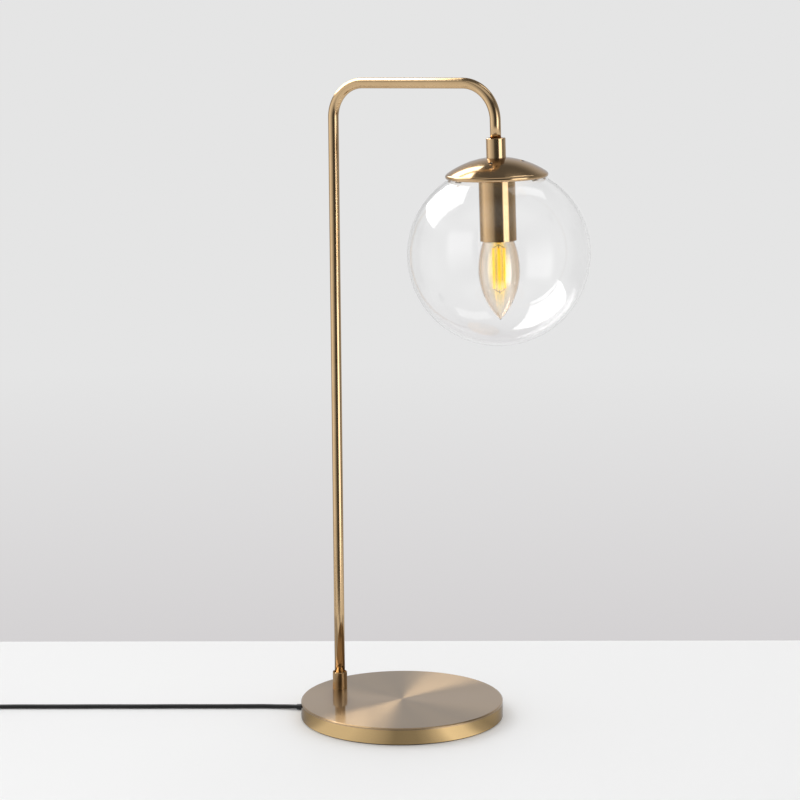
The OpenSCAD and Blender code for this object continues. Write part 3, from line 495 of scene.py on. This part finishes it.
iron = moulded("cast_iron_paint", (0.03, 0.029, 0.028), (0.06, 0.058, 0.056), 0.65, 900, 0.0002)
pad_rubber = moulded("foot_rubber", (0.02, 0.02, 0.02), (0.045, 0.045, 0.046), 0.75, 1500, 0.00008)
cable_black = moulded("cable_black", (0.006, 0.006, 0.0065), (0.013, 0.013, 0.0135), 0.45, 3000, 0.00001)
plastic_black = moulded("plastic_black", (0.012, 0.012, 0.0125), (0.02, 0.02, 0.021), 0.4, 2800, 0.00003)
holder_black = moulded("holder_black", (0.02, 0.02, 0.02), (0.035, 0.034, 0.033), 0.5, 2000, 0.00003)
insulator_white = moulded("insulator_white", (0.62, 0.6, 0.55), (0.74, 0.72, 0.67), 0.5, 1800, 0.00002)
vitrite = moulded("black_vitrite", (0.01, 0.01, 0.012), (0.02, 0.02, 0.024), 0.15, 1200, 0.00001)
globe_glass = clear_glass("globe_glass", (1.0, 1.0, 1.0), 1.33)
bulb_glass = amber_glass("amber_bulb_glass")
stem_glass = clear_glass("stem_glass", (0.98, 0.93, 0.8), 1.45)
filament_glow = glowing("filament_glow", (1.0, 0.72, 0.12), (1.0, 0.46, 0.01), (1.0, 0.6, 0.04), 1.15)

FINISHES = {
    "base_cover": base_bronze, "base_weight": iron, "base_pad": pad_rubber,
    "foot_collar": foot_bronze, "foot_stud": zinc_steel, "foot_washer": zinc_steel,
    "foot_nut": zinc_steel, "cord_relief": cable_black, "base_lead": cable_black,
    "arm_tube": tube_bronze, "arm_lead": insulator_white, "coupling": head_bronze,
    "coupling_screw": zinc_steel, "head_nipple": zinc_steel, "dome_cap": head_bronze,
    "globe_spring": spring_steel, "lock_nut": zinc_steel, "glass_globe": globe_glass,
    "holder_sleeve": head_bronze, "holder_cap": holder_black, "holder_skirt": holder_black,
    "holder_core": insulator_white, "terminal_screws": brass, "socket_shell": brass,
    "centre_contact": brass, "bulb_cap": nickel, "bulb_insulator": vitrite, "bulb_contact": zinc_steel,
    "bulb_glass": bulb_glass, "bulb_stem": stem_glass, "bulb_wires": zinc_steel,
    "bulb_filaments": filament_glow, "cord_run": cable_black, "cord_link": cable_black,
    "cord_coil": cable_black, "cord_tail": cable_black, "cord_tie": plastic_black,
    "switch_base": plastic_black, "switch_cover": plastic_black, "switch_rocker": plastic_black,
    "switch_terminals": brass, "switch_screws": zinc_steel, "plug_body": plastic_black,
    "plug_pins": nickel, "pin_sleeves": plastic_black,
}


def dress_nodes():
    for name, material in FINISHES.items():
        for slot in parts[name].material_slots:
            slot.material = material


def add_piece(bm, name, material, body, slot, *replaced):
    """Makes the piece's object from its finished bmesh, and lets it ride and stand for its CAD nodes."""
    mesh = bpy.data.meshes.new(name)
    bm.to_mesh(mesh)
    bm.free()
    mesh.materials.append(material)
    piece = bpy.data.objects.new(name, mesh)
    scene.collection.objects.link(piece)
    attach(piece, body)
    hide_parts(*replaced)
    return piece


# Arm, in millimetres

TUBE_R = 4.5
TUBE_WALL = 0.9
TUBE_SIDES = 36
POST_X = -64
POST_STEPS = 8
BEND_R = 30
BEND_Z = 516
BEND_STEPS = 24
BAR_RUN = 98
TUBE_FOOT = 20.6
TUBE_END = 53.5
RISE = math.radians(1.7)
# Share of x that is added to y in the tube's map, so that no face has a flat map
MAP_LEAN = 0.31
along_bar = Vector((math.cos(RISE), 0, math.sin(RISE)))
down_drop = Vector((math.sin(RISE), 0, -math.cos(RISE)))


def grow(bm, rim, place, steps, step_length):
    """Extrudes an open rim step by step, each step moved by place, and keeps the length run so far."""
    run = bm.verts.layers.float["run"]
    for _ in range(steps):
        made = bmesh.ops.extrude_edge_only(bm, edges=rim)["geom"]
        verts = [g for g in made if isinstance(g, bmesh.types.BMVert)]
        rim = [g for g in made if isinstance(g, bmesh.types.BMEdge) and all(v in verts for v in g.verts)]
        bmesh.ops.transform(bm, matrix=place, verts=verts)
        for v in verts:
            v[run] += step_length
    return rim


def grow_bend(bm, rim, centre, degrees):
    """Extrudes an open rim round a bend's centre."""
    step = degrees / BEND_STEPS
    turn = (Matrix.Translation(centre) @ Matrix.Rotation(math.radians(step), 4, "Y")
            @ Matrix.Translation(-centre))
    return grow(bm, rim, turn, BEND_STEPS, BEND_R * MM * math.radians(step))


def make_arm():
    bm = bmesh.new()
    run = bm.verts.layers.float.new("run")
    foot = Matrix.Translation((POST_X * MM, 0, TUBE_FOOT * MM))
    bmesh.ops.create_circle(bm, segments=TUBE_SIDES, radius=TUBE_R * MM, matrix=foot)
    rim = bm.edges[:]
    first = Vector((POST_X + BEND_R, 0, BEND_Z)) * MM
    second = first + BAR_RUN * MM * along_bar
    post_step = (BEND_Z - TUBE_FOOT) * MM / POST_STEPS
    drop = (TUBE_END - BEND_R) * MM
    rim = grow(bm, rim, Matrix.Translation((0, 0, post_step)), POST_STEPS, post_step)
    rim = grow_bend(bm, rim, first, 90 - math.degrees(RISE))
    rim = grow(bm, rim, Matrix.Translation(along_bar * BAR_RUN * MM), 1, BAR_RUN * MM)
    rim = grow_bend(bm, rim, second, 90)
    grow(bm, rim, Matrix.Translation(down_drop * drop), 1, drop)
    bmesh.ops.recalc_face_normals(bm, faces=bm.faces)
    tube_map = bm.loops.layers.uv.new("along")
    for face in bm.faces:
        face.smooth = True
        for loop in face.loops:
            loop[tube_map].uv = (loop.vert[run], loop.vert.co.y + MAP_LEAN * loop.vert.co.x)
    arm = add_piece(bm, "arm", tube_bronze, "lamp", "bronze_tube", "arm_tube")
    wall = arm.modifiers.new("wall", "SOLIDIFY")
    wall.thickness = TUBE_WALL * MM
    wall.offset = -1


# Globe, in millimetres

GLOBE_R = 75.7
SHOULDER_R = 73
GLASS = 2
MOUTH_R = 30
GLOBE_DEPTH = 140.45
GLOBE_STEPS = 144
GLOBE_ROWS = 44
WELD = 0.002


def on_drop(depth):
    """The point on the drop's axis at a depth below the bar's centre line, in metres."""
    bend = Vector((POST_X + BEND_R, 0, BEND_Z)) + BAR_RUN * along_bar
    return (bend + BEND_R * along_bar + (depth - BEND_R) * down_drop) * MM


def globe_side(inward):
    """Radius and height of the glass from its mouth down to the axis, on the globe's own centre."""
    ball = GLOBE_R - inward
    shoulder = SHOULDER_R - inward
    offset = GLOBE_R - SHOULDER_R
    start = math.acos((MOUTH_R - offset) / shoulder)
    falls = [start * (1 - i / GLOBE_ROWS) for i in range(GLOBE_ROWS)]
    dips = [math.pi / 2 * i / GLOBE_ROWS for i in range(GLOBE_ROWS + 1)]
    return ([(offset + shoulder * math.cos(a), shoulder * math.sin(a)) for a in falls]
            + [(ball * math.cos(a), -ball * math.sin(a)) for a in dips])


def make_globe():
    bm = bmesh.new()
    tilt = Matrix.Translation(on_drop(GLOBE_DEPTH)) @ Matrix.Rotation(-RISE, 4, "Y")
    line = globe_side(0)[::-1] + globe_side(GLASS)
    verts = [bm.verts.new((max(r, 0) * MM, 0, h * MM)) for r, h in line]
    edges = [bm.edges.new(pair) for pair in zip(verts, verts[1:])]
    bmesh.ops.spin(bm, geom=verts + edges, axis=(0, 0, 1), cent=(0, 0, 0), steps=GLOBE_STEPS, angle=math.tau)
    bmesh.ops.remove_doubles(bm, verts=bm.verts, dist=WELD * MM)
    bmesh.ops.transform(bm, matrix=tilt, verts=bm.verts)
    bmesh.ops.recalc_face_normals(bm, faces=bm.faces)
    for face in bm.faces:
        face.smooth = True
    add_piece(bm, "globe", globe_glass, "lamp", "clear_glass", "glass_globe")


# Studio, in metres to the right of the camera's side, away from it and up

HEAD = (0.083, -0.052, 0.41)
TABLE_EDGE = 0.241
TABLE_FRONT = -0.3
TABLE_LEFT = -0.75
TABLE_RIGHT = 0.6
TABLE_TURN = math.radians(1.3)
TABLE_WHITE = (0.86, 0.86, 0.86)
# The distances from a mirror over which the table loses its own light levels
BESIDE = (0.26, 0.34)
WALL_LOW = (0.655, 0.638, 0.645)
WALL_HIGH = (0.783, 0.783, 0.783)
WALL_FADE = (-0.268, -0.17)
WALL_THROUGH_GLASS = 1.06
EVEN_LIGHT = (0.96, 0.96, 0.96, 1)

# Light levels that mirror-like surfaces see, by degrees to the right of the camera's side:
# on the table close to the base, round the room, and in its tall window
TABLE_LEVELS = [
    (-180, 0.8), (-82, 0.36), (-69, 0.5), (-60, 0.84), (-36, 0.85), (-27, 0.7), (-20, 0.6), (-12, 0.45),
    (-5, 0.28), (10, 0.32), (17, 0.45), (25, 0.72), (32, 1.15), (46, 1.05), (56, 0.5), (68, 0.34),
    (90, 0.5), (180, 0.8),
]
ROOM_LEVELS = [
    (-180, 0.84), (-150, 0.7), (-125, 0.55), (-94, 1.2), (-64, 0.88), (-30, 0.4), (-19, 0.11),
    (0, 0.06), (28, 0.06), (34, 0.24), (84, 0.24), (112, 0.36), (135, 0.6), (155, 0.84), (180, 0.84),
]
WINDOW_LEVELS = [(-180, 0), (30, 0), (36, 2.3), (66, 2.2), (74, 0), (180, 0)]
FLOOR_LEVEL = 0.86
CEILING_LEVEL = 0.13
CEILING_FRONT_LEVEL = 0.7
UPPER_WALL = 0.86

# How steeply up a direction points where one level goes over into the next
WINDOW_FOOT = (-0.75, -0.24)
WINDOW_TOP = (-0.05, 0.5)
FLOOR_FADE = (-0.5, -0.3)
WALL_SHADE = (-0.05, 0.1)
CEILING_FADE = (0.35, 0.75)
FRONT_HEIGHT = (0.55, 0.8)
FRONT_SIDE = (0.05, 0.4)

# Lamps: name, place, aim, width and height, radiance, turn in degrees, on matt surfaces, in mirrors
SOFTBOXES = [
    ("left_window", (-0.417, 0.368, 0.945), HEAD, (0.74, 0.6), 5.0, 9.5, False, True),
    ("left_light", (-1.7, 0.9, 1.9), (0, 0, 0), (1.4, 1.4), 1.5, 0, True, False),
    ("top_panel", (0.6, 0.3, 1.6), HEAD, (0.3, 0.8), 1.4, 0, True, True),
]


def along(tree, direction, axis):
    node = tree.nodes.new("ShaderNodeVectorMath")
    node.operation = "DOT_PRODUCT"
    tree.links.new(direction, node.inputs[0])
    node.inputs[1].default_value = axis
    return node.outputs["Value"]


def angle_of(tree, direction):
    """How far a direction lies to the right of the camera's side."""
    return math_node(tree, "ARCTAN2", along(tree, direction, to_right), along(tree, direction, -away))


def by_angle(tree, angle, levels):
    """A light level read from a list of degrees and levels."""
    curve = tree.nodes.new("ShaderNodeFloatCurve")
    tree.links.new(map_range(tree, angle, -math.pi, math.pi), curve.inputs["Value"])
    points = curve.mapping.curves[0].points
    top = max(level for _, level in levels)
    spots = [((degrees + 180) / 360, level / top) for degrees, level in levels]
    points[0].location = spots[0]
    points[1].location = spots[-1]
    for spot in spots[1:-1]:
        points.new(*spot)
    for point in points:
        point.handle_type = "VECTOR"
    curve.mapping.update()
    return times(tree, curve.outputs[0], top)


def table_finish():
    """White, with its own light levels where a mirror-like surface close by shows it."""
    material, tree, shader = new_finish("table_white", TABLE_WHITE, Roughness=0.55, Specular_IOR_Level=0.2,
                                        Emission_Color=(1, 1, 1, 1))
    path = tree.nodes.new("ShaderNodeLightPath")
    place = tree.nodes.new("ShaderNodeNewGeometry").outputs["Position"]
    beside = soft_step(tree, path.outputs["Ray Length"], *BESIDE, 1, 0)
    mirrored = times(tree, path.outputs["Is Glossy Ray"], beside)
    level = by_angle(tree, angle_of(tree, place), TABLE_LEVELS)
    tree.links.new(mix_colors(tree, mirrored, (*TABLE_WHITE, 1), (0, 0, 0, 1)), shader.inputs["Base Color"])
    tree.links.new(times(tree, mirrored, level), shader.inputs["Emission Strength"])
    material.cycles.emission_sampling = "NONE"
    return material


def make_table():
    bm = bmesh.new()
    bmesh.ops.create_grid(bm, x_segments=1, y_segments=1, size=0.5)
    size = Matrix.Diagonal((TABLE_RIGHT - TABLE_LEFT, TABLE_EDGE - TABLE_FRONT, 1, 1))
    middle = Matrix.Translation(((TABLE_LEFT + TABLE_RIGHT) / 2, (TABLE_FRONT + TABLE_EDGE) / 2, 0))
    bmesh.ops.transform(bm, verts=bm.verts, matrix=Matrix.Rotation(LOOK - TABLE_TURN, 4, "Z") @ middle @ size)
    mesh = bpy.data.meshes.new("table")
    bm.to_mesh(mesh)
    bm.free()
    mesh.materials.append(table_finish())
    table = bpy.data.objects.new("table", mesh)
    scene.collection.objects.link(table)


def add_softbox(name, place, aim, size, radiance, turn, on_matt, in_mirrors):
    place, aim = (to_right * p[0] + away * p[1] + Vector((0, 0, p[2])) for p in (place, aim))
    lamp = bpy.data.lights.new(name, "AREA")
    lamp.shape = "RECTANGLE"
    lamp.size, lamp.size_y = size
    lamp.energy = radiance * math.pi * size[0] * size[1]
    box = bpy.data.objects.new(name, lamp)
    facing = (aim - place).to_track_quat("-Z", "Y").to_matrix().to_4x4()
    box.matrix_world = Matrix.Translation(place) @ facing @ Matrix.Rotation(math.radians(turn), 4, "Z")
    box.visible_diffuse = on_matt
    box.visible_glossy = in_mirrors
    scene.collection.objects.link(box)


def room_level(tree, direction, height):
    """What mirror-like surfaces see: a dark camera's side, a tall window to its right, a pale wall behind."""
    angle = angle_of(tree, direction)
    upright = times(tree, soft_step(tree, height, *WINDOW_FOOT),
                    soft_step(tree, height, *WINDOW_TOP, 1, 0))
    window = times(tree, by_angle(tree, angle, WINDOW_LEVELS), upright)
    sides = add(tree, by_angle(tree, angle, ROOM_LEVELS), window)
    sides = times(tree, sides, soft_step(tree, height, *WALL_SHADE, 1, UPPER_WALL))
    sides = blend(tree, soft_step(tree, height, *FLOOR_FADE, 1, 0), sides, FLOOR_LEVEL)
    front = times(tree, soft_step(tree, along(tree, direction, -away), *FRONT_SIDE),
                  soft_step(tree, height, *FRONT_HEIGHT))
    overhead = blend(tree, front, CEILING_LEVEL, CEILING_FRONT_LEVEL)
    return blend(tree, soft_step(tree, height, *CEILING_FADE), sides, overhead)


def make_world():
    """A pale wall behind and even light on everything, with its own room for mirror-like surfaces."""
    world = bpy.data.worlds.new("studio")
    scene.world = world
    world.use_nodes = True
    tree = world.node_tree
    tree.nodes.clear()
    direction = tree.nodes.new("ShaderNodeTexCoord").outputs["Generated"]
    height = split_xyz(tree, direction)[2]
    wall = color_ramp(tree, map_range(tree, height, *WALL_FADE), [(0.0, WALL_LOW), (1.0, WALL_HIGH)])
    path = tree.nodes.new("ShaderNodeLightPath")
    # A ray that passed through glass shows the wall, but not when a mirror-like surface sent it there
    never_mirrored = math_node(tree, "LESS_THAN", path.outputs["Glossy Depth"], 0.5)
    through = times(tree, path.outputs["Is Transmission Ray"], never_mirrored)
    seen = math_node(tree, "MAXIMUM", path.outputs["Is Camera Ray"], through)
    sent_on = math_node(tree, "SUBTRACT", path.outputs["Is Transmission Ray"], through)
    in_mirrors = math_node(tree, "MAXIMUM", path.outputs["Is Glossy Ray"], sent_on)
    lit = mix_colors(tree, in_mirrors, EVEN_LIGHT, room_level(tree, direction, height))
    background = tree.nodes.new("ShaderNodeBackground")
    tree.links.new(mix_colors(tree, seen, lit, wall), background.inputs["Color"])
    tree.links.new(blend(tree, through, 1, WALL_THROUGH_GLASS), background.inputs["Strength"])
    output = tree.nodes.new("ShaderNodeOutputWorld")
    tree.links.new(background.outputs[0], output.inputs["Surface"])


make_camera()
make_cord()
dress_nodes()
make_arm()
make_globe()
make_table()
for softbox in SOFTBOXES:
    add_softbox(*softbox)
make_world()
scene.view_settings.view_transform = "Standard"
